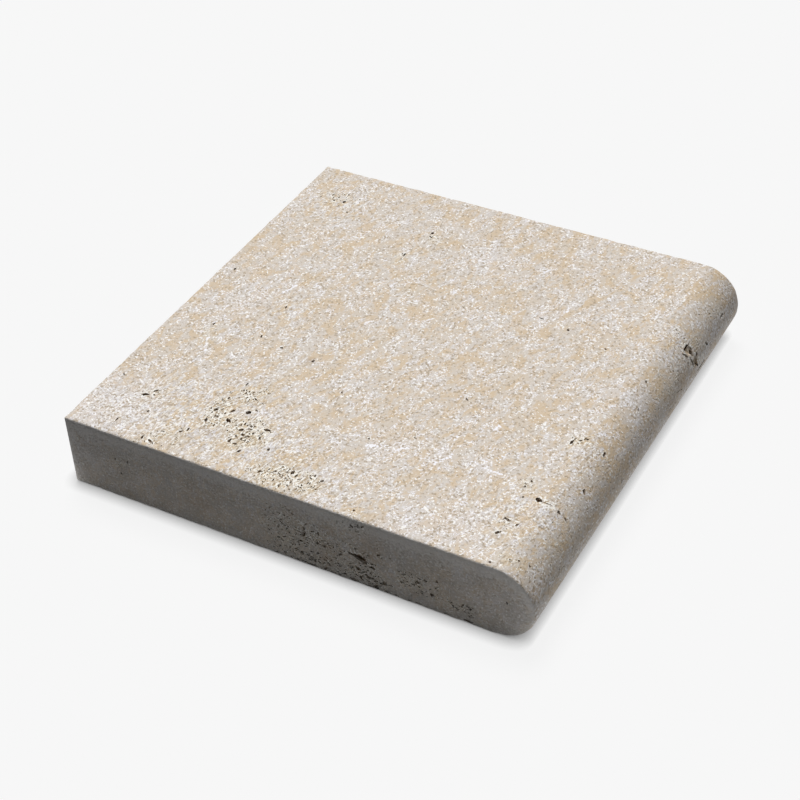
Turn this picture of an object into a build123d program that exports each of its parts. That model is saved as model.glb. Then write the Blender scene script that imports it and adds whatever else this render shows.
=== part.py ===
"""Pool coping stone: one sawn travertine paver with a full round nose on the pool side.

The frame stands at the middle of the bed. +X points out of the nose, towards the pool,
+Y runs along the pool edge, and +Z points up. All sizes are in millimetres.
"""

from build123d import *
import os
from math import cos, pi, radians, sin

os.makedirs("parts", exist_ok=True)

# The sawn blank: a square paver, as thick as two inches
pool_edge_length = 305.0
deck_to_nose = 305.0
thickness = 50.0

# The sawn corners are eased by hand
arris_radius = 1.2

# A natural void is an angular bowl. Its mouth is a many-sided ellipse with three lobes, its wall
# breaks at a shoulder, and its floor is about half as wide as the mouth and leans to one side
mouth_unevenness = 0.16
mouth_lobes = 3
mouth_sides = 9
shoulder_depth_share = 0.6
shoulder_width_share = 0.86
floor_width_share = 0.45
floor_lean = 0.5
overcut = 1.0

# The cavern: the widest void on the nose, three cells that open into each other
cavern_angle = 35.0
cavern_from_far_end = 76.0
cavern_width = 7.6
cavern_height = 9.0
cavern_depth = 4.2
lower_cell_angle = 17.0
lower_cell_width = 5.0
lower_cell_height = 8.4
side_cell_angle = 21.0
side_cell_offset = 3.6
side_cell_width = 3.4
side_cell_height = 6.0
side_cell_depth = 2.8

# A stem left three pits in a row over the brow of the nose, from its tip to its root
stem_from_near_end = 57.0
stem_pits = [(92.0, 4.8), (61.0, 3.6), (51.0, 2.6)]
stem_width_share = 0.62
stem_depth = 2.2

# Slots in the nose: degrees above its level line, and distance from the far or near end
slot_length = 5.6
slot_width = 2.4
slot_depth = 1.9
far_slots = [(-6.0, 63.0), (14.0, 54.0), (22.0, 28.0)]
near_slots = [(48.0, 81.0), (54.0, 112.0)]

# Pits in the walking face, nearly along the pool edge: distance from the deck edge, and from the
# far or near end
pit_length = 4.2
pit_width = 2.8
pit_depth = 1.8
pit_heading = 105.0
far_pits = [(34.0, 36.0), (106.0, 43.0)]
near_pits = [(62.0, 149.0), (81.0, 112.0), (105.0, 109.0), (32.0, 39.0), (78.0, 35.0), (78.0, 46.0)]
near_pits += [(90.0, 40.0), (96.0, 52.0), (115.0, 43.0), (147.0, 18.0), (271.0, 36.0), (270.0, 25.0)]

# The vug: the widest void in the near end face, with a smaller cell beside it
vug_from_deck = 199.0
vug_above_bed = 21.5
vug_length = 10.5
vug_height = 5.2
vug_depth = 4.0
vug_heading = -14.0
vug_side_offset = 7.5
vug_side_length = 6.0

# Pits in the near end face: distance from the deck edge or the nose, and height above the bed
end_pit_length = 3.6
end_pit_height = 2.6
end_pit_depth = 2.0
deck_side_end_pits = [(163.0, 24.0), (186.0, 19.0), (196.0, 12.0), (204.0, 8.0), (213.0, 8.0)]
nose_side_end_pits = [(62.0, 13.0), (39.0, 12.0)]

# The nose takes the whole thickness, so its radius follows the blank
nose_radius = thickness / 2
half_depth = deck_to_nose / 2
half_length = pool_edge_length / 2
nose_centre_x = half_depth - nose_radius


def on_walking_face(from_deck, y, heading=0.0):
    """A plane on the top of the stone, facing out of it."""
    return Plane((from_deck - half_depth, y, thickness)).rotated((0, 0, heading))


def on_nose(angle, y):
    """A plane on the nose, `angle` degrees above its level line, with X along the pool edge."""
    out = Vector(cos(radians(angle)), 0, sin(radians(angle)))
    centre = Vector(nose_centre_x, y, nose_radius)
    return Plane(centre + out * nose_radius, x_dir=(0, 1, 0), z_dir=out)


def on_near_end(x, height, heading=0.0):
    """A plane on the end face that looks along -Y, with X towards the nose."""
    face = Plane((x, -half_length, height), x_dir=(1, 0, 0), z_dir=(0, -1, 0))
    return face.rotated((0, 0, heading))


def mouth(length, width, share):
    """Corners of the uneven mouth of a void, drawn in by `share` as it goes down."""
    points = []
    for step in range(mouth_sides):
        turn = 2 * pi * step / mouth_sides
        reach = share * (1 + mouth_unevenness * cos(mouth_lobes * turn))
        points.append((reach * cos(turn) * length / 2, reach * sin(turn) * width / 2))
    return points


def void(length, width, depth):
    """A bowl sunk below the plane it stands on, with its floor leaning along X."""
    shoulder = (-shoulder_depth_share * depth, shoulder_width_share)
    floor = (-depth, floor_width_share)
    with BuildPart(mode=Mode.PRIVATE) as hollow:
        for level, share in ((overcut, 1.0), (0.0, 1.0), shoulder, floor):
            with BuildSketch(Plane.XY.offset(level)):
                with Locations((floor_lean * max(-level, 0) / depth, 0)):
                    with BuildLine():
                        Polyline(mouth(length, width, share), close=True)
                    make_face()
        loft(ruled=True)
    return hollow.part


with BuildPart() as coping_stone:
    # The section seen from the near end: flat bed, half-round nose, flat top, sawn deck edge
    with BuildSketch(Plane.XZ):
        with BuildLine():
            bed = Line((-half_depth, 0), (nose_centre_x, 0))
            nose = TangentArc(bed @ 1, (nose_centre_x, thickness), tangent=bed % 1)
            top = Line(nose @ 1, (-half_depth, thickness))
            Line(top @ 1, bed @ 0)
        make_face()
    extrude(amount=half_length, both=True)

    # Both end faces are eased all round, and so are the two long corners at the deck
    end_outlines = coping_stone.faces().filter_by(Axis.Y).edges()
    deck_corners = coping_stone.edges().filter_by(Axis.Y).group_by(Axis.X)[0]
    fillet(end_outlines + deck_corners, radius=arris_radius)

    cavern_y = half_length - cavern_from_far_end
    with Locations(on_nose(cavern_angle, cavern_y)):
        add(void(cavern_width, cavern_height, cavern_depth), mode=Mode.SUBTRACT)
    with Locations(on_nose(lower_cell_angle, cavern_y)):
        add(void(lower_cell_width, lower_cell_height, cavern_depth), mode=Mode.SUBTRACT)
    with Locations(on_nose(side_cell_angle, cavern_y + side_cell_offset)):
        add(void(side_cell_width, side_cell_height, side_cell_depth), mode=Mode.SUBTRACT)

    for angle, length in stem_pits:
        with Locations(on_nose(angle, stem_from_near_end - half_length).rotated((0, 0, 90))):
            add(void(length, length * stem_width_share, stem_depth), mode=Mode.SUBTRACT)

    slot_places = [on_nose(angle, half_length - far) for angle, far in far_slots]
    slot_places += [on_nose(angle, near - half_length) for angle, near in near_slots]
    with Locations(slot_places):
        add(void(slot_length, slot_width, slot_depth), mode=Mode.SUBTRACT)

    pit_places = [on_walking_face(x, half_length - far, pit_heading) for x, far in far_pits]
    pit_places += [on_walking_face(x, near - half_length, pit_heading) for x, near in near_pits]
    with Locations(pit_places):
        add(void(pit_length, pit_width, pit_depth), mode=Mode.SUBTRACT)

    vug_x = vug_from_deck - half_depth
    with Locations(on_near_end(vug_x, vug_above_bed, vug_heading)):
        add(void(vug_length, vug_height, vug_depth), mode=Mode.SUBTRACT)
        with Locations((-vug_side_offset, 0)):
            add(void(vug_side_length, vug_height / 2, vug_depth / 2), mode=Mode.SUBTRACT)

    end_places = [on_near_end(x - half_depth, z) for x, z in deck_side_end_pits]
    end_places += [on_near_end(half_depth - x, z) for x, z in nose_side_end_pits]
    with Locations(end_places):
        add(void(end_pit_length, end_pit_height, end_pit_depth), mode=Mode.SUBTRACT)

coping_stone.part.label = "coping_stone"
export_step(coping_stone.part, "parts/coping_stone.step")
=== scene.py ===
import bmesh
import bpy
import math
import random
from mathutils import Matrix, Quaternion, Vector, kdtree


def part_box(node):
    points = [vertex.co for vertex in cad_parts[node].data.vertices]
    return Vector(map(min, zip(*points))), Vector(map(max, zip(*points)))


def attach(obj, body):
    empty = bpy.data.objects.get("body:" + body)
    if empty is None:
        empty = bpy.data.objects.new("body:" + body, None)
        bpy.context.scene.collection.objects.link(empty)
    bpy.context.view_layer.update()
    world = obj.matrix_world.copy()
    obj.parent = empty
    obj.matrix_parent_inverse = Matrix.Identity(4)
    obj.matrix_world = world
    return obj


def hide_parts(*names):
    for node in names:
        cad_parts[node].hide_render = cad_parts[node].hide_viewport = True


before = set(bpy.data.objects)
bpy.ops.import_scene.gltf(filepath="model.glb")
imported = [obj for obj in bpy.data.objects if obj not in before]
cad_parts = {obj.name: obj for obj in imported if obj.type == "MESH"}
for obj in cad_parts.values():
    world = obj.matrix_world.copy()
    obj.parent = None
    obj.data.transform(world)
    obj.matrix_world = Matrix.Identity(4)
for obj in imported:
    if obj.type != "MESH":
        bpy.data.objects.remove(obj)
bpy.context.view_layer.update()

# The coping stone is one piece of cream travertine. It is sawn from a block, one long side is
# turned to a full round nose, and the top and nose are brushed, so that the saw and the brush
# have opened the voids that stems and gas left in the rock.
stone_low, stone_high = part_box("coping_stone")
half_depth = -stone_low.x
half_length = stone_high.y
thickness = stone_high.z
nose_radius = thickness / 2
nose_centre_x = half_depth - nose_radius
arris = 0.0012
nose_facets = 24
arris_facets = 3
grain_pitch = 0.0025
merge_distance = 1e-5


def choose(kind, wanted):
    """Selects the vertices, edges or faces that pass the test, and nothing else."""
    bpy.ops.mesh.select_mode(type=kind)
    bpy.ops.mesh.select_all(action="DESELECT")
    shape = bmesh.from_edit_mesh(bpy.context.object.data)
    for part in {"VERT": shape.verts, "EDGE": shape.edges, "FACE": shape.faces}[kind]:
        if wanted(part):
            part.select_set(True)
    bmesh.update_edit_mesh(bpy.context.object.data)


def along(edge, axis):
    """True where an edge runs along one axis: 0, 1 or 2 for X, Y or Z."""
    run = edge.verts[1].co - edge.verts[0].co
    return abs(run[axis]) > 0.999 * run.length


def saw(axis, start, stop, pitch, wanted=lambda face: True):
    """Cuts the wanted faces by planes across one axis, evenly spaced from start to stop."""
    cuts = round((stop - start) / pitch)
    normal = Vector((axis == 0, axis == 1, axis == 2))
    for cut in range(cuts + 1):
        choose("FACE", wanted)
        place = normal * (start + (stop - start) * cut / cuts)
        bpy.ops.mesh.bisect(plane_co=place, plane_no=normal, threshold=1e-6)


def of_an_end(face):
    """True for what faces along the pool edge, on either end."""
    return abs(face.normal.y) > 0.99


bpy.ops.object.select_all(action="DESELECT")
bpy.ops.mesh.primitive_cube_add(size=1, location=(0, 0, thickness / 2))
stone = bpy.context.object
stone.name = "dressed_stone"
stone.scale = (2 * half_depth, 2 * half_length, thickness)
bpy.ops.object.transform_apply(location=True, rotation=False, scale=True)
bpy.ops.object.mode_set(mode="EDIT")

choose("EDGE", lambda e: along(e, 1) and e.verts[0].co.x > 0)
bpy.ops.mesh.bevel(offset=nose_radius, segments=nose_facets, profile=0.5)
bpy.ops.mesh.select_all(action="SELECT")
bpy.ops.mesh.remove_doubles(threshold=merge_distance)
choose("EDGE", lambda e: not along(e, 1) or (along(e, 1) and e.verts[0].co.x < -nose_radius))
bpy.ops.mesh.bevel(offset=arris, segments=arris_facets, profile=0.5)

# The skin is divided finely enough to carry its unevenness, except on the bed
sheer = 2 * arris
saw(1, sheer - half_length, half_length - sheer, grain_pitch)
saw(0, sheer - half_depth, nose_centre_x, grain_pitch)
saw(2, sheer, thickness - sheer, grain_pitch, lambda f: of_an_end(f) or f.normal.x < -0.99)
saw(0, nose_centre_x, half_depth - sheer, grain_pitch, of_an_end)
choose("FACE", lambda f: f.normal.z < -0.999 and f.calc_center_median().z < arris / 9)
bpy.ops.mesh.dissolve_limited(angle_limit=math.radians(0.5))
bpy.ops.object.mode_set(mode="OBJECT")


def loosely(name, strength, wavelength, weight):
    """Sinks the skin by a soft noise, nowhere above the sawn planes, where weight says so."""
    group = stone.vertex_groups.new(name=name)
    for vertex in stone.data.vertices:
        share = weight(vertex.co)
        if share > 0:
            group.add([vertex.index], share, "REPLACE")
    waves = bpy.data.textures.new(name, "CLOUDS")
    waves.noise_scale = wavelength
    waves.noise_depth = 2
    sink = stone.modifiers.new(name, "DISPLACE")
    sink.texture = waves
    sink.texture_coords = "LOCAL"
    sink.strength = strength
    sink.mid_level = 1.0
    sink.vertex_group = name
    bpy.context.view_layer.objects.active = stone
    bpy.ops.object.modifier_apply(modifier=name)


def brushed(place):
    """The top and the upper nose are brushed, and the bed, ends and deck edge are sawn flat."""
    return min(1.0, max(0.0, (place.z - 0.3 * thickness) / (0.4 * thickness)))


def gaps(place):
    """How far a place lies from the end faces, from the deck edge, and from the other skin."""
    skin = min(place.z, thickness - place.z)
    if place.x > nose_centre_x:
        skin = nose_radius - math.hypot(place.x - nose_centre_x, place.z - nose_radius)
    return half_length - abs(place.y), place.x + half_depth, skin


def near_arris(place):
    """One on the eased corners, and nothing from a little over two millimetres off."""
    return max(0.0, 1.0 - sorted(gaps(place))[1] / (2.2 * arris))


loosely("brushed_skin", 0.0004, 0.022, brushed)
loosely("worn_arrises", 0.0011, 0.007, near_arris)

# Places on the skin, in millimetres: `reach` runs from the deck edge over the top and on round
# the nose, `along_edge` runs from the near end face, and `height` stands above the bed
mm = 0.001


def place_on_skin(reach, along_edge):
    """A frame on the top or the nose, with Z out of the stone and Y along the pool edge."""
    past_brow = reach * mm - half_depth - nose_centre_x
    y = along_edge * mm - half_length
    turn = max(0.0, past_brow / nose_radius)
    out = Vector((math.sin(turn), 0, math.cos(turn)))
    if past_brow > 0:
        spot = Vector((nose_centre_x, y, nose_radius)) + out * nose_radius
    else:
        spot = Vector((reach * mm - half_depth, y, thickness))
    return Matrix.Translation(spot) @ Matrix.Rotation(turn, 4, "Y")


def place_on_end(from_deck, height, side=-1):
    """A frame on the near end face, or the far one, with Z out of the stone."""
    spot = Vector((from_deck * mm - half_depth, side * half_length, height * mm))
    return Matrix.Translation(spot) @ Matrix.Rotation(-side * math.pi / 2, 4, "X")


def place_on_deck_edge(along_edge, height):
    """A frame on the sawn deck edge, with Z out of the stone."""
    spot = Vector((-half_depth, along_edge * mm - half_length, height * mm))
    return Matrix.Translation(spot) @ Matrix.Rotation(-math.pi / 2, 4, "Y")


def place_on_bed(from_deck, along_edge):
    """A frame on the bed, with Z down and out of the stone."""
    spot = Vector((from_deck * mm - half_depth, along_edge * mm - half_length, 0))
    return Matrix.Translation(spot) @ Matrix.Rotation(math.pi, 4, "X")


# Every void is noted first and cut later. It is a bubble with its middle a little below the skin.
# Small ones are drawn out along the bedding, which runs at 105 degrees on the top
dice = random.Random(305)
pits = []
top_lie = 105
lie_scatter = 28


def pit(place, length, width, depth, heading=0.0, sunk=0.35):
    """Notes one void: its mouth in millimetres, its depth, and how far its middle is sunk."""
    turned = place @ Matrix.Rotation(math.radians(heading), 4, "Z")
    lowered = turned @ Matrix.Translation((0, 0, -sunk * depth * mm))
    size = Vector((length, width, 2 * (1 - sunk) * depth)) * mm / 2
    pits.append((lowered, size))


def swarm(place_at, lie, middle, spread, heading, number, smallest, largest):
    """Scatters small voids over an oval patch, nearly all drawn out along `lie` degrees."""
    turn = math.radians(heading)
    for _ in range(number):
        away = dice.random() ** 0.6
        round_about = dice.uniform(0, 2 * math.pi)
        u = away * spread[0] * math.cos(round_about)
        v = away * spread[1] * math.sin(round_about)
        spot = (middle[0] + u * math.cos(turn) - v * math.sin(turn),
                middle[1] + u * math.sin(turn) + v * math.cos(turn))
        width = smallest + (largest - smallest) * dice.random() ** 2 * (1.1 - 0.6 * away)
        length = width * dice.uniform(1.1, 2.6)
        pit(place_at(*spot), length, width, width * dice.uniform(0.7, 1.1),
            heading=dice.gauss(lie, lie_scatter))


# The wide voids stand where the solid has them. The cavern on the nose is a shallow cell with a
# light floor between deep cracks, a second cell below it, and a slot below that. The vug in the
# near end comes last
pit(place_on_skin(321.6, 237.5), 15.0, 2.0, 2.6, heading=94)
pit(place_on_skin(302.8, 228), 8.4, 7.6, 1.6, heading=30, sunk=0.2)
pit(place_on_skin(300.4, 228.2), 9.4, 2.0, 3.6, heading=90)
pit(place_on_skin(306.2, 229.4), 6.0, 2.6, 4.6, heading=-20)
pit(place_on_skin(310.2, 226.3), 8.0, 2.2, 4.2, heading=10)
pit(place_on_skin(312.4, 230.2), 6.6, 5.0, 1.8, heading=-5, sunk=0.2)
pit(place_on_skin(302.8, 222.6), 6.6, 1.9, 3.4, heading=30)
pit(place_on_skin(309.7, 234.0), 3.6, 2.8, 3.6, heading=20)
pit(place_on_skin(316.0, 231.8), 4.8, 1.8, 3.4, heading=38)
pit(place_on_skin(309.5, 276.5), 7.0, 2.2, 1.3, heading=90)
pit(place_on_skin(285.0, 57.4), 8.0, 1.3, 0.8, heading=4)
pit(place_on_end(199.2, 21.2), 10.0, 4.8, 3.6, heading=-14)
pit(place_on_end(192.8, 22.4), 5.0, 2.4, 2.2, heading=-20)

# Single voids of the top and the nose: place, length, width and heading
for reach, along_edge, length, width, heading in (
        (279.4, 57.6, 4.8, 3.4, 165), (292.9, 56.6, 3.4, 2.2, 150), (297.8, 56.2, 2.4, 1.8, 175),
        (31.8, 38.9, 5.0, 3.2, 30), (35.5, 44.5, 4.0, 1.7, 60), (34.4, 269.1, 3.6, 2.4, 80),
        (27.2, 268.0, 2.2, 1.5, 105), (42.5, 259.0, 2.6, 1.4, 130), (106.4, 261.5, 3.0, 2.4, 85),
        (107.6, 256.9, 3.4, 1.4, 150), (10.0, 170.5, 2.6, 2.0, 140), (9.0, 49.1, 2.2, 1.4, 145),
        (96.2, 51.6, 4.0, 3.2, 75), (298.2, 80.7, 4.4, 2.6, 125), (295.9, 112.3, 5.2, 2.4, 115),
        (146.9, 17.9, 3.6, 2.6, 90), (150.2, 16.4, 3.8, 1.4, 90), (77.7, 34.6, 4.8, 2.2, 115),
        (271.1, 36.4, 6.0, 1.8, 160), (277.4, 35.0, 3.0, 1.6, 65), (77.6, 45.6, 3.6, 2.6, 70),
        (59.4, 4.9, 6.0, 1.8, 155), (52.8, 5.8, 4.4, 1.6, 105), (114.6, 42.8, 4.4, 2.6, 10),
        (89.5, 40.2, 4.6, 2.8, 150), (87.1, 48.5, 4.2, 2.0, 65), (270.4, 25.0, 3.6, 2.0, 70),
        (275.7, 109.4, 4.6, 2.4, 85), (279.6, 112.9, 2.6, 1.4, 45), (129.6, 10.3, 3.2, 1.9, 65),
        (114.7, 34.5, 4.2, 1.6, 120), (109.7, 20.1, 2.8, 2.2, 70), (100.9, 36.5, 3.6, 2.4, 55),
        (72.9, 23.2, 3.6, 1.6, 95), (69.9, 19.9, 2.8, 1.9, 55), (105.4, 109.4, 2.8, 2.2, 65),
        (302.2, 204.9, 1.8, 1.3, 20), (304.9, 208.4, 1.6, 1.2, 60), (307.1, 193.7, 1.6, 1.2, 0),
        (314.8, 200.8, 1.8, 1.2, 90), (317.0, 206.5, 1.8, 1.2, 40), (291.9, 180.8, 2.6, 1.8, 120),
        (295.5, 258.4, 1.8, 1.3, 30), (301.1, 266.7, 1.8, 1.3, 70), (308.0, 221.5, 2.0, 1.3, 10),
        (289.3, 234.1, 1.6, 1.2, 0), (291.7, 232.4, 1.4, 1.2, 90), (296.1, 232.2, 1.6, 1.2, 40),
        (312.0, 249.3, 5.6, 2.0, 40), (230.7, 203.6, 2.4, 1.9, 130), (99.9, 25.5, 4.6, 2.0, 90),
        (104.5, 41.5, 2.3, 2.0, 135), (165.4, 19.1, 2.9, 1.8, 60), (78.6, 57.6, 2.7, 1.6, 90),
        (81.3, 112.4, 2.6, 2.1, 75), (269.5, 69.7, 2.0, 1.7, 115), (104.0, 33.1, 3.2, 1.9, 145),
        (105.3, 29.6, 2.7, 1.6, 105), (289.8, 12.5, 1.9, 1.5, 150), (150.8, 10.1, 4.2, 1.3, 130),
        (124.3, 28.6, 2.4, 1.8, 110), (101.8, 29.9, 4.4, 1.5, 135), (64.0, 116.8, 3.8, 1.4, 110),
        (99.6, 55.0, 2.5, 1.6, 150), (101.6, 231.6, 4.6, 1.4, 100), (104.2, 24.5, 3.4, 1.6, 5),
        (282.8, 115.3, 2.2, 1.6, 80), (211.3, 207.2, 3.8, 1.4, 170), (81.4, 73.2, 3.8, 1.3, 95),
        (277.0, 3.4, 2.0, 1.8, 125), (42.3, 26.7, 2.4, 1.8, 70), (158.7, 18.1, 2.7, 1.3, 155),
        (297.4, 158.5, 2.4, 1.5, 130), (62.0, 148.9, 3.4, 1.5, 100), (270.9, 56.1, 1.9, 1.4, 120),
        (296.2, 14.2, 1.9, 1.4, 145), (137.8, 14.7, 2.0, 1.7, 5), (205.5, 117.3, 3.6, 1.2, 140),
        (268.2, 64.3, 2.4, 1.3, 125), (149.9, 7.3, 2.4, 1.3, 130), (80.5, 40.5, 2.4, 1.5, 125),
        (193.1, 6.2, 1.8, 1.6, 55), (133.6, 14.5, 1.8, 1.5, 95), (76.1, 54.6, 2.6, 1.4, 125),
        (159.8, 20.9, 2.4, 1.3, 110), (30.3, 114.8, 3.6, 1.3, 90), (171.2, 61.8, 2.6, 1.2, 120),
        (145.7, 5.0, 2.4, 1.3, 120), (258.7, 195.9, 2.2, 1.3, 155), (30.0, 12.5, 4.0, 1.3, 90),
        (136.2, 91.0, 2.6, 1.2, 110), (194.6, 73.9, 2.6, 1.2, 150), (93.7, 63.5, 3.8, 1.3, 150)):
    pit(place_on_skin(reach, along_edge), length, width, 0.5 + 0.7 * width, heading=heading)

# Single voids of the near end face, many of them bites out of its lower edge
for from_deck, height, length, width, heading in (
        (206.2, 17.2, 4.2, 2.4, 0), (243.0, 12.8, 3.4, 2.6, 0), (204.2, 8.4, 5.0, 2.4, 10),
        (196.8, 12.4, 3.8, 2.8, 165), (198.4, 6.0, 3.6, 2.2, 120), (213.4, 7.9, 4.4, 2.2, 10),
        (194.6, 43.5, 3.0, 2.4, 135), (162.6, 23.9, 3.2, 2.2, 70), (185.9, 18.7, 3.2, 2.0, 55),
        (266.4, 12.3, 3.0, 2.3, 60), (239.3, 22.0, 2.4, 2.2, 0), (261.9, 13.6, 2.8, 1.6, 55),
        (172.4, 28.8, 3.4, 1.6, 85), (246.5, 24.2, 2.6, 1.9, 110), (224.4, 14.4, 2.4, 1.8, 25),
        (157.2, 10.4, 3.6, 1.6, 10), (160.1, 9.4, 3.0, 1.7, 30), (210.5, 28.6, 2.8, 1.7, 40),
        (171.5, 20.9, 2.4, 1.8, 55), (43.1, 31.1, 2.2, 1.6, 70), (234.1, 19.1, 2.2, 1.8, 60),
        (193.4, 12.0, 3.0, 1.4, 60), (177.8, 7.6, 3.6, 1.7, 125), (154.4, 13.1, 2.1, 1.7, 160),
        (288.4, 27.2, 2.6, 1.3, 105), (160.5, 18.4, 3.0, 1.5, 10), (256.0, 10.1, 2.3, 1.7, 100),
        (163.3, 28.6, 2.2, 1.7, 55), (168.7, 6.4, 2.3, 1.8, 90), (145.3, 14.8, 2.0, 1.6, 175),
        (147.7, 13.8, 2.4, 1.4, 150), (37.5, 20.1, 2.4, 1.5, 150), (34.4, 30.6, 2.2, 1.3, 55),
        (201.7, 46.4, 3.6, 1.4, 55), (198.5, 45.8, 2.4, 1.4, 75), (164.4, 32.4, 3.4, 1.2, 55),
        (165.3, 2.2, 9.0, 2.2, 0), (193.7, 2.3, 7.0, 2.6, 175), (207.6, 2.8, 4.6, 3.4, 5),
        (175.1, 3.0, 5.0, 2.2, 50), (202.1, 1.8, 5.2, 1.9, 0), (157.1, 2.2, 3.1, 2.0, 160),
        (265.4, 2.4, 6.4, 1.9, 175), (188.3, 4.6, 3.4, 2.0, 170), (180.0, 2.0, 4.6, 1.5, 175),
        (220.5, 2.2, 2.4, 1.7, 0), (214.3, 2.4, 4.4, 1.7, 175), (184.7, 2.2, 3.0, 1.5, 165),
        (233.8, 2.4, 4.6, 1.3, 0), (251.6, 2.4, 4.0, 1.2, 5), (142.8, 2.0, 3.0, 1.4, 5),
        (152.6, 2.0, 2.1, 1.6, 160), (134.8, 2.0, 2.8, 1.4, 0), (229.0, 2.2, 2.8, 1.2, 175)):
    pit(place_on_end(from_deck, height), length, width, 0.4 + 0.7 * width, heading=heading)

# Swarms of small voids where the rock is porous: middle, spread, heading, number, sizes
top_swarms = [
    ((30, 272), (15, 10), 0, 30, 0.6, 1.4),
    ((109, 257), (8, 3), -35, 10, 0.6, 1.2),
    ((100, 229), (5, 9), 0, 12, 0.6, 1.2),
    ((88, 66), (13, 10), 0, 50, 0.6, 1.4),
    ((80, 42), (8, 14), 10, 70, 0.6, 1.5),
    ((105, 36), (17, 13), -20, 150, 0.6, 1.6),
    ((36, 41), (8, 5), 25, 14, 0.6, 1.3),
    ((66, 14), (16, 11), 20, 40, 0.6, 1.4),
    ((145, 12), (24, 10), 6, 160, 0.6, 1.5),
    ((32, 102), (6, 10), 30, 10, 0.5, 1.0),
    ((278, 113), (7, 5), 30, 12, 0.6, 1.3),
    ((272, 30), (6, 7), -10, 12, 0.6, 1.3),
    ((288, 10), (10, 6), 0, 16, 0.6, 1.2),
    ((268, 67), (5, 5), 0, 10, 0.6, 1.1),
    ((300, 268), (9, 14), 0, 16, 0.5, 1.2),
    ((310, 195), (12, 22), 0, 34, 0.6, 1.3),
    ((306, 238), (9, 13), 0, 16, 0.6, 1.3),
    ((305, 40), (14, 26), 0, 26, 0.5, 1.1),
    ((330, 120), (14, 60), 0, 44, 0.6, 1.6),
]
end_swarms = [
    ((38, 27), (10, 10), 0, 12, 0.5, 1.1),
    ((150, 26), (16, 16), 0, 90, 0.6, 1.4),
    ((168, 20), (16, 14), -10, 90, 0.6, 1.6),
    ((165, 7), (30, 6), 0, 90, 0.6, 1.5),
    ((196, 20), (15, 9), -15, 50, 0.7, 1.8),
    ((204, 8), (16, 6), -8, 80, 0.6, 1.7),
    ((195, 44), (12, 4), 0, 24, 0.6, 1.3),
    ((236, 17), (15, 8), -12, 60, 0.6, 1.5),
    ((262, 11), (12, 5), 0, 34, 0.6, 1.5),
    ((205, 33), (40, 8), 0, 16, 0.5, 1.0),
]
for swarm_facts in top_swarms:
    swarm(place_on_skin, top_lie, *swarm_facts)
for swarm_facts in end_swarms:
    swarm(place_on_end, 0, *swarm_facts)

# The hidden sides are of the same rock, and the top has single pits nearly everywhere
for _ in range(12):
    swarm(lambda x, z: place_on_end(x, z, side=1), 0, (dice.uniform(20, 280), dice.uniform(8, 42)),
          (14, 6), dice.uniform(-20, 20), 18, 0.6, 2.0)
for _ in range(9):
    swarm(place_on_deck_edge, 90, (dice.uniform(15, 290), dice.uniform(8, 42)),
          (14, 6), dice.uniform(-20, 20), 16, 0.6, 2.0)
for _ in range(14):
    swarm(place_on_bed, 100, (dice.uniform(20, 260), dice.uniform(20, 285)),
          (16, 10), dice.uniform(0, 180), 12, 0.8, 2.6)
for _ in range(90):
    pit(place_on_skin(dice.uniform(4, 300), dice.uniform(4, 301)), dice.uniform(0.8, 1.6), 0.7, 0.6,
        heading=dice.gauss(top_lie, lie_scatter))

# The arrises of the deck edge, and those of the ends as far as the nose, are chipped
chip_spacing = 9 * mm


def chip_off(start, stop):
    """Small bites out of an arris, between two corners of the sawn blank."""
    for _ in range(round((stop - start).length / chip_spacing)):
        spot = start.lerp(stop, dice.random())
        width = dice.uniform(0.8, 2.6)
        size = Vector((dice.uniform(1.0, 1.8) * width, width, width)) * mm / 2
        turn = Quaternion((dice.gauss(0, 1), dice.gauss(0, 1), dice.gauss(0, 1), dice.gauss(0, 1)))
        pits.append((Matrix.Translation(spot) @ turn.normalized().to_matrix().to_4x4(), size))


corners = [Vector((x, y, z)) for x in (-half_depth, nose_centre_x)
           for y in (-half_length, half_length) for z in (0, thickness)]
for start in corners:
    for stop in corners:
        run = stop - start
        if start.x < 0 and sum(run) > 0 and sum(abs(step) > mm for step in run) == 1:
            chip_off(start, stop)


plain_up_to = 0.85 * mm


def bite(cutters):
    """Subtracts a joined mesh of uneven bubbles from the stone. The smallest are the plainest."""
    bpy.ops.object.select_all(action="DESELECT")
    for number, (place, size) in enumerate(cutters):
        bubble = plain_bubble
        if max(size) > plain_up_to:
            bubble = rounder_bubbles[number % len(rounder_bubbles)]
        copy = bubble.copy()
        copy.data = bubble.data.copy()
        copy.data.transform(place @ Matrix.Diagonal((*size, 1)))
        bpy.context.collection.objects.link(copy)
        copy.select_set(True)
        bpy.context.view_layer.objects.active = copy
    bpy.ops.object.join()
    drill = bpy.context.object
    cut = stone.modifiers.new("voids", "BOOLEAN")
    cut.operation = "DIFFERENCE"
    cut.solver = "MANIFOLD"
    cut.object = drill
    bpy.context.view_layer.objects.active = stone
    bpy.ops.object.modifier_apply(modifier=cut.name)
    bpy.data.objects.remove(drill)


bubbles = []
for seed, subdivisions in enumerate((1, 2, 2, 2, 2)):
    bpy.ops.object.select_all(action="DESELECT")
    bpy.ops.mesh.primitive_ico_sphere_add(subdivisions=subdivisions, radius=1)
    bpy.ops.object.mode_set(mode="EDIT")
    bpy.ops.transform.vertex_random(offset=0.22, uniform=0.6, normal=0.6, seed=seed)
    bpy.ops.object.mode_set(mode="OBJECT")
    bubbles.append(bpy.context.object)
plain_bubble, *rounder_bubbles = bubbles

# Bubbles that would meet go into different cuts, and one that finds no room in any is left out
most_cuts = 8
room = 1.25
alike = 0.95


def backbone(place, size):
    """Five points along the middle of a long bubble."""
    return [place @ Vector((share * (size.x - size.y), 0, 0)) for share in (-1, -0.5, 0, 0.5, 1)]


def outward(place):
    """The way out of the stone at a bubble."""
    return place.col[2].xyz.normalized()


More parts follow.
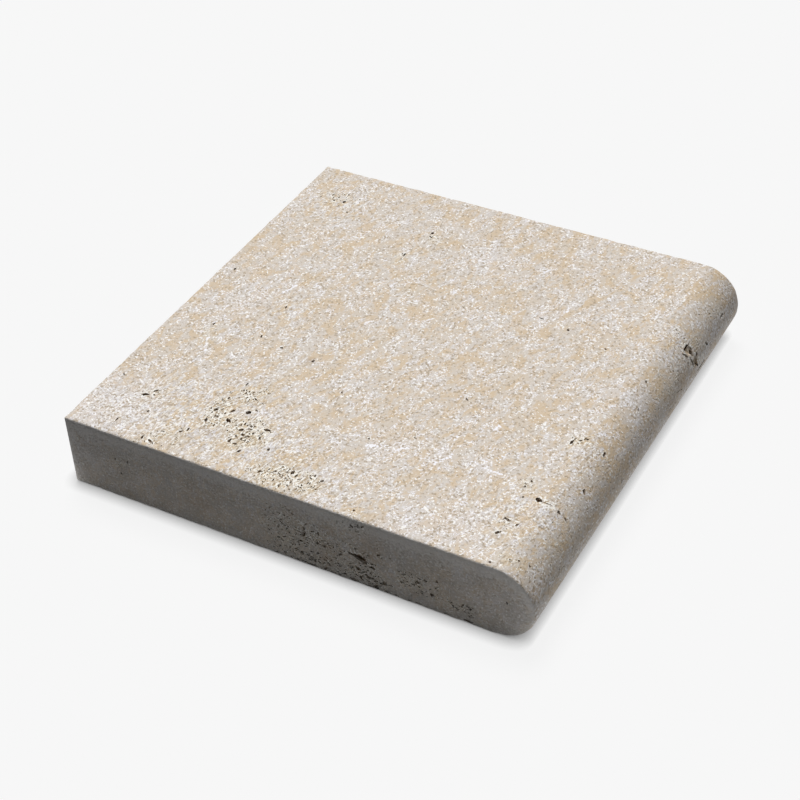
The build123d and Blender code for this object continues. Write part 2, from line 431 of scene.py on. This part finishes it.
def apart(one, other):
    """True where two bubbles are far apart, or lie on one face with their backbones well clear."""
    gap = (one[0].translation - other[0].translation).length
    if gap > room * (max(one[1]) + max(other[1])):
        return True
    if outward(one[0]).dot(outward(other[0])) < alike:
        return False
    nearest = min((a - b).length for a in backbone(*one) for b in backbone(*other))
    return nearest > room * (one[1].y + other[1].y)


rounds = [[] for _ in range(most_cuts)]
for void in pits:
    for taken in rounds:
        if all(apart(void, other) for other in taken):
            taken.append(void)
            break
for taken in filter(None, rounds):
    bite(taken)
for bubble in bubbles:
    bpy.data.objects.remove(bubble)
bpy.ops.object.select_all(action="DESELECT")
stone.select_set(True)
bpy.context.view_layer.objects.active = stone
bpy.ops.object.shade_smooth_by_angle(angle=math.radians(32))

# Stains, as places on the top and the nose and then on the near end, each with its reach: rust
# and honey, the gold floor of the cavern, and where the rock is rough, or pale as chalk
stain_spots = {
    "rust": ([(311, 206, 6), (318, 190, 6), (103, 109, 3), (311, 229, 7)],
             [(155, 41, 8), (180, 34, 5), (179, 22, 4), (176, 12, 5), (205, 26, 6), (39, 6, 5),
              (92, 20, 8), (208, 40, 9)]),
    "honey": ([(8, 185, 9), (88, 160, 12), (140, 195, 14), (188, 265, 13), (32, 65, 12),
               (150, 30, 11), (207, 65, 12), (60, 9, 11), (100, 25, 13), (230, 140, 12),
               (120, 120, 12), (60, 230, 13)],
              [(100, 30, 16), (250, 30, 14)]),
    "gold": ([(302.8, 228, 4.5), (312.3, 229.9, 3)], []),
    "rough": ([(36, 30, 34), (88, 44, 38), (140, 14, 34), (278, 42, 26), (32, 268, 20),
               (300, 225, 20), (62, 148, 14), (290, 110, 16)],
              [(190, 14, 36)]),
    "chalk": ([(12, 12, 24), (30, 30, 18), (240, 69, 6), (232, 71, 5), (217, 66, 6),
               (210, 210, 7), (186, 62, 8), (176, 57, 6), (250, 20, 14), (225, 8, 12),
               (150, 250, 14), (40, 150, 14), (290, 160, 12), (312, 262, 7), (322, 214, 7),
               (303, 206, 4), (291, 233, 4), (311, 198, 6)],
              [(215, 44, 9), (8, 25, 12), (222, 30, 8), (280, 25, 18)]),
}
stains = {}
for name, (on_skin, on_end) in stain_spots.items():
    stains[name] = [(place_on_skin(u, v).translation, reach * mm) for u, v, reach in on_skin]
    stains[name] += [(place_on_end(u, v).translation, reach * mm) for u, v, reach in on_end]

# White veins of the top, each from one place to another
veins = [((252, 67), (233, 70)), ((219, 72), (222, 64)), ((218, 66), (214, 58)),
         ((56, 172), (52, 161)), ((34, 104), (40, 89)), ((105, 58), (101, 47)),
         ((120, 48), (117, 36)), ((248, 84), (246, 78)), ((234, 107), (232, 101)),
         ((274, 28), (273, 22)), ((221, 226), (222, 220)), ((27, 136), (27, 130)),
         ((44, 282), (43, 272)), ((182, 60), (172, 56)), ((196, 66), (190, 60))]
vein_steps = 12
vein_spots = kdtree.KDTree(vein_steps * len(veins))
for number, (start, stop) in enumerate(veins):
    for step in range(vein_steps):
        spot = Vector(start).lerp(Vector(stop), step / (vein_steps - 1))
        vein_spots.insert(place_on_skin(*spot).translation, number)
vein_spots.balance()

pit_spots = kdtree.KDTree(len(pits))
for number, (place, size) in enumerate(pits):
    pit_spots.insert(place.translation, number)
pit_spots.balance()

# Attributes drive the colour: how porous the rock is round a point, how far it lies below the
# skin, whether it is at the rim of a void or on a sawn face, how near it is to an arris or to the
# top, where sawn faces are bruised pale and lit by painted light, and how much it has of a vein or
# of each stain
crowd_range = 9 * mm
crowd_fade = 3.5 * mm
full_crowd = 8
mouth_share = 1.2
# Sawn faces are paler near their arrises, partly bruising and partly painted light, and paler
# towards the top as painted light
bruise_and_light_fade = 4.5 * mm
painted_top_light_fade = 10 * mm
painted_top_light_share = 0.9
vein_fade = 2 * mm


def fading(gap, fade):
    """One at no gap, and less and less from about `fade` on."""
    return math.exp(-(gap / fade) ** 2)


shares = {name: [] for name in
          ("porous", "hollow", "deep", "rim", "sawn", "bruised_and_painted_light", "vein", *stains)}
for vertex in stone.data.vertices:
    spot = vertex.co
    near_pits = pit_spots.find_range(spot, crowd_range)
    end_gap, deck_gap, skin_gap = gaps(spot)
    sunk, to_arris, _ = sorted((end_gap, deck_gap, skin_gap))
    sawn_gap = min(end_gap, deck_gap, spot.z)
    below_top = thickness - spot.z
    at_mouth = any(gap < mouth_share * max(pits[number][1]) for _, number, gap in near_pits)
    amounts = {
        "porous": sum(fading(gap, crowd_fade) for _, _, gap in near_pits) / full_crowd,
        "hollow": (sunk - 0.7 * mm) / (1.2 * mm),
        "deep": (sunk - 1.7 * mm) / (0.8 * mm),
        "rim": at_mouth * (1.0 - abs(sunk - 0.2 * mm) / (0.5 * mm)),
        "sawn": float(sawn_gap < skin_gap - 0.1 * mm or spot.z < arris),
        # Bruising at the arrises mixed with painted light, and painted light towards the top
        "bruised_and_painted_light": (math.exp(-to_arris / bruise_and_light_fade)
                    + painted_top_light_share * math.exp(-below_top / painted_top_light_fade)),
        "vein": fading(vein_spots.find(spot)[2], vein_fade),
    }
    for name, blots in stains.items():
        amounts[name] = sum(fading((spot - middle).length, reach) for middle, reach in blots)
    for name, amount in amounts.items():
        shares[name].append(min(1.0, max(0.0, amount)))
for name, values in shares.items():
    stone.data.attributes.new(name, "FLOAT", "POINT").data.foreach_set("value", values)


class Wire:
    """A socket of a node tree. An expression on wires adds its Math nodes."""
    tree = None

    def __init__(self, socket):
        self.socket = socket

    @staticmethod
    def node(kind, settings, sockets, output=0):
        """Adds a node: its settings first, then the values or wires of its sockets."""
        made = Wire.tree.nodes.new("ShaderNode" + kind)
        for name, value in settings.items():
            setattr(made, name, value)
        for name, value in sockets.items():
            if isinstance(value, Wire):
                Wire.tree.links.new(value.socket, made.inputs[name])
            else:
                made.inputs[name].default_value = value
        return Wire(made.outputs[output])

    def __add__(self, other):
        return Wire.node("Math", {"operation": "ADD"}, {0: self, 1: other})

    def __sub__(self, other):
        return Wire.node("Math", {"operation": "SUBTRACT"}, {0: self, 1: other})

    def __rsub__(self, other):
        return Wire.node("Math", {"operation": "SUBTRACT"}, {0: other, 1: self})

    def __mul__(self, other):
        return Wire.node("Math", {"operation": "MULTIPLY"}, {0: self, 1: other})

    def __abs__(self):
        return Wire.node("Math", {"operation": "ABSOLUTE"}, {0: self})

    __radd__ = __add__
    __rmul__ = __mul__


def clouds(place, size, detail=2.0, distortion=0.0, shift=0.0):
    """Soft noise around one half, with patches about `size` millimetres across."""
    moved = Wire.node("Mapping", {}, {"Vector": place, "Location": (shift, shift, shift)})
    sockets = {"Vector": moved, "Scale": 1 / (size * mm), "Detail": detail,
               "Distortion": distortion}
    return Wire.node("TexNoise", {}, sockets)


def between(wire, low, high):
    """A soft mask: nothing at low, all at high."""
    sockets = {"Value": wire, "From Min": low, "From Max": high}
    return Wire.node("MapRange", {"interpolation_type": "SMOOTHSTEP"}, sockets)


def tint(share, under, over):
    """Lays one colour over another by a share."""
    under = under if isinstance(under, Wire) else (*under, 1)
    return Wire.node("Mix", {"data_type": "RGBA"}, {0: share, 6: under, 7: (*over, 1)}, output=2)


cream = (0.583, 0.522, 0.458)
warm_cream = (0.563, 0.464, 0.347)
amber = (0.570, 0.435, 0.280)
tan = (0.575, 0.430, 0.265)
cool_grey = (0.640, 0.640, 0.700)
pale_rose = (0.600, 0.585, 0.600)
chalk_white = (0.690, 0.690, 0.750)
thread_white = (0.87, 0.86, 0.91)
speck_white = (0.92, 0.90, 0.87)
vein_white = (0.90, 0.89, 0.93)
dot_brown = (0.33, 0.25, 0.16)
porous_tan = (0.62, 0.53, 0.38)
streak_brown_and_shade = (0.34, 0.245, 0.14)
streak_white_and_highlight = (0.95, 0.92, 0.84)
# Colours of the sawn faces, whose brown and grey darkening is partly painted shade
saw_brown_and_shade = (0.30, 0.26, 0.22)
saw_grey_and_shade = (0.40, 0.40, 0.40)
saw_dust = (0.72, 0.72, 0.71)
rust_brown = (0.28, 0.19, 0.11)
rim_white_and_highlight = (0.94, 0.92, 0.86)
bruise_and_light_white = (0.80, 0.77, 0.73)
cavern_gold = (0.70, 0.57, 0.38)
hollow_brown_and_shade = (0.27, 0.185, 0.11)
deep_painted_shade = (0.16, 0.11, 0.07)

travertine = bpy.data.materials.new("brushed_travertine")
travertine.use_nodes = True
Wire.tree = travertine.node_tree
shader = travertine.node_tree.nodes["Principled BSDF"]
porous, hollow, deep, rim, sawn, bruised_and_painted_light, vein, rust, honey, gold, rough, chalk = [
    Wire.node("Attribute", {"attribute_name": name}, {}, output="Fac") for name in shares]

# The grain lies along the pool edge, 13 degrees off it
grain_space = Wire.node("TexCoord", {}, {}, output="Object")
turned = Wire.node("Mapping", {}, {"Vector": grain_space, "Rotation": (0, 0, math.radians(13))})
bedded = Wire.node("Mapping", {}, {"Vector": turned, "Scale": (1.3, 0.7, 1.2)})
streaked = Wire.node("Mapping", {}, {"Vector": turned, "Scale": (1.5, 0.6, 1.5)})
wide = clouds(bedded, 20, detail=2, distortion=0.5)
flocks = clouds(bedded, 11, detail=3, distortion=0.6, shift=0.7)
patches = clouds(bedded, 10, detail=3, distortion=0.7, shift=1.3)
flecks = clouds(bedded, 3.6, detail=2, distortion=0.8, shift=0.5)
threads = clouds(bedded, 4.2, detail=2.5, distortion=0.9, shift=0.3)
specks = clouds(grain_space, 1.3, detail=0.8, shift=0.9)
dots = clouds(grain_space, 1.6, detail=1, shift=1.7)
crumbs = clouds(grain_space, 2.0, detail=2, shift=2.3)
streaks = clouds(streaked, 1.5, detail=1.5, shift=3.1)
gathered = between(flocks + chalk * 0.14, 0.43, 0.58) * (1 - sawn * 0.6)
thread = between(abs(threads - 0.5), 0.038, 0.008) * between(specks, 0.36, 0.48)
busy = porous * 0.7 + rough * 0.5
# Bruising and painted light on the sawn faces, broken up by flecks and specks
worn_and_painted_light = between(bruised_and_painted_light + flecks * 1.4 + specks * 0.9, 1.20, 2.05)

# The brushed skin: cream with amber and tan patches, cool where it is rough or chalky, and
# crackled with white
colour = tint(between(wide + honey * 0.15, 0.42, 0.64) * 0.6, cream, warm_cream)
colour = tint(between(patches + honey * 0.06, 0.50, 0.58) * 0.8, colour, amber)
colour = tint(between(flecks, 0.50, 0.62) * (0.5 + rough * 0.5), colour, tan)
colour = tint(between(flecks, 0.48, 0.36) * rough * 0.6, colour, cool_grey)
colour = tint(gathered * 0.22, colour, pale_rose)
colour = tint(chalk * between(flecks, 0.42, 0.56) * 0.3, colour, chalk_white)
colour = tint(thread * (gathered * 0.75 + 0.2), colour, thread_white)
white_specks = between(specks + gathered * 0.045 + rough * 0.02, 0.635, 0.715)
colour = tint(white_specks, colour, speck_white)
colour = tint(between(vein * 0.8 + specks * 0.8, 0.88, 1.08), colour, vein_white)
colour = tint(between(dots - gathered * 0.03, 0.42, 0.29) * 0.85, colour, dot_brown)

# Porous rock is tan, with short dark and light streaks between its pits, partly the rock's own and
# partly painted shade and highlight of its relief
colour = tint(porous * 0.5, colour, porous_tan)
colour = tint(between(streaks, 0.47, 0.32) * busy, colour, streak_brown_and_shade)
colour = tint(between(streaks, 0.56, 0.67) * busy, colour, streak_white_and_highlight)

# The sawn faces are greyer, plainer and darker, the darkening partly painted shade, and rust stains
# them and the nose
saw_stain_and_shade = between(flocks, 0.62, 0.38) * 0.4 + between(crumbs, 0.70, 0.30) * 0.25
colour = tint(sawn * saw_stain_and_shade, colour, saw_brown_and_shade)
colour = tint(sawn * 0.25, colour, saw_grey_and_shade)
colour = tint(sawn * between(specks, 0.55, 0.68) * 0.4, colour, saw_dust)
colour = tint(rust * between(flecks, 0.30, 0.60) * 0.6, colour, rust_brown)

# Rims and bruised corners are pale, partly painted highlight and painted light, and the voids are
# brown inside, partly as painted shade
# Mouths of voids are paler, partly a cream crust and partly a painted highlight where their rims
# catch the light
colour = tint(between(rim * 0.6 + specks, 0.98, 1.16) * 0.85, colour, rim_white_and_highlight)
# Sawn faces are pale at their bruised arrises, and painted light makes them lighter along their
# edges and towards the top
colour = tint(sawn * worn_and_painted_light * 0.6, colour, bruise_and_light_white)
colour = tint(gold * hollow, colour, cavern_gold)
# Brown inside the voids, partly the rock's own and partly painted shade
colour = tint(hollow * (1 - gold * 0.8) * (flecks + 0.4), colour, hollow_brown_and_shade)
# Painted shade darkens the bottoms of the deepest voids
colour = tint(deep * 0.8, colour, deep_painted_shade)
roughness = specks * 0.2 + 0.48
dot_depth = between(dots, 0.46, 0.28) * 0.6
height = specks * 0.6 + crumbs * 0.7 - dot_depth + streaks * busy * 2.4
normal = Wire.node("Bump", {}, {"Strength": 0.6, "Distance": 0.42 * mm, "Height": height})
for socket, wire in (("Base Color", colour), ("Roughness", roughness), ("Normal", normal)):
    travertine.node_tree.links.new(wire.socket, shader.inputs[socket])
shader.inputs["Specular IOR Level"].default_value = 0.5
stone.data.materials.clear()
stone.data.materials.append(travertine)
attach(stone, "root")
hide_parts("coping_stone")

# The paper that the stone lies on runs on into a pale background. It is grey to the light, but
# white round the stone and beside the nose, and the ray that sees it finds it evenly pale, with
# a painted contact shadow, a narrow dark line where the stone rests on it
grey_paper = (0.170, 0.172, 0.177)
white_paper = (0.88, 0.88, 0.88)
seen_paper = (0.05, 0.05, 0.05)
black = (0.0, 0.0, 0.0)


def seen_ray():
    """One for a ray from the camera, or by a mirror or glass, and nothing for one that lights."""
    rays = [Wire.node("LightPath", {}, {}, output="Is " + kind + " Ray")
            for kind in ("Camera", "Glossy", "Transmission")]
    return rays[0] + rays[1] + rays[2]


bpy.ops.object.select_all(action="DESELECT")
bpy.ops.mesh.primitive_plane_add(size=8)
floor = bpy.context.object
floor.name = "studio_floor"
paper = bpy.data.materials.new("pale_paper")
paper.use_nodes = True
paper_shader = paper.node_tree.nodes["Principled BSDF"]
Wire.tree = paper.node_tree
place = Wire.node("TexCoord", {}, {}, output="Object")
across, lengthwise = [Wire.node("SeparateXYZ", {}, {"Vector": place}, output=axis)
                      for axis in "XY"]
beside_nose = between(across, 0.12, 0.16) * between(across, 0.23, 0.18)
round_stone = between(abs(across), 0.20, 0.17) * between(abs(lengthwise), 0.19, 0.165)
tone = tint(beside_nose + round_stone, grey_paper, white_paper)
tone = tint(seen_ray(), tone, seen_paper)
# Ambient occlusion paints a narrow contact shadow into the paper's glow
open_sky = Wire.node("AmbientOcclusion", {"samples": 8}, {"Distance": 9 * mm}, output="AO")
glow_with_painted_shadow = tint(seen_ray() * open_sky, black, white_paper)
paper.node_tree.links.new(tone.socket, paper_shader.inputs["Base Color"])
paper.node_tree.links.new(glow_with_painted_shadow.socket, paper_shader.inputs["Emission Color"])
paper_shader.inputs["Emission Strength"].default_value = 1.0
paper_shader.inputs["Roughness"].default_value = 1.0
paper_shader.inputs["Specular IOR Level"].default_value = 0.0
floor.data.materials.append(paper)

# The lamp is broad and soft, and stands above and behind the stone, and a little cool light
# comes from all round
faint_light = (0.033, 0.036, 0.040)
seen_background = (0.93, 0.93, 0.93)
lamp_strength = 3.35
lamp_breadth = math.radians(26)
towards_deck = math.tan(math.radians(16))
towards_far_end = math.tan(math.radians(20))
world = bpy.data.worlds.new("studio_sky")
world.use_nodes = True
bpy.context.scene.world = world
Wire.tree = world.node_tree
tone = tint(seen_ray(), faint_light, seen_background)
world.node_tree.links.new(tone.socket, world.node_tree.nodes["Background"].inputs["Color"])

bpy.ops.object.light_add(type="SUN", location=(-0.5, 0.7, 1.5))
lamp = bpy.context.object
lamp.name = "soft_lamp"
lamp.data.energy = lamp_strength
lamp.data.angle = lamp_breadth
lamp_from = Vector((-towards_deck, towards_far_end, 1))
lamp.rotation_mode = "QUATERNION"
lamp.rotation_quaternion = lamp_from.to_track_quat("Z", "Y")

# The camera stands where a fit to the stone's outline and sawn corners puts it, over the near end
# and the nose, with a long lens and a slight roll
bpy.ops.object.camera_add(location=(0.419618, -0.729676, 0.695967))
camera = bpy.context.object
camera.data.lens = 78.477
camera.data.sensor_width = 36
look_at = Vector((0.002499, -0.026576, 0.025))
roll = Quaternion((0, 0, 1), math.radians(-3.109))
camera.rotation_mode = "QUATERNION"
camera.rotation_quaternion = (look_at - camera.location).to_track_quat("-Z", "Y") @ roll
bpy.context.scene.camera = camera
bpy.context.scene.view_settings.view_transform = "Standard"
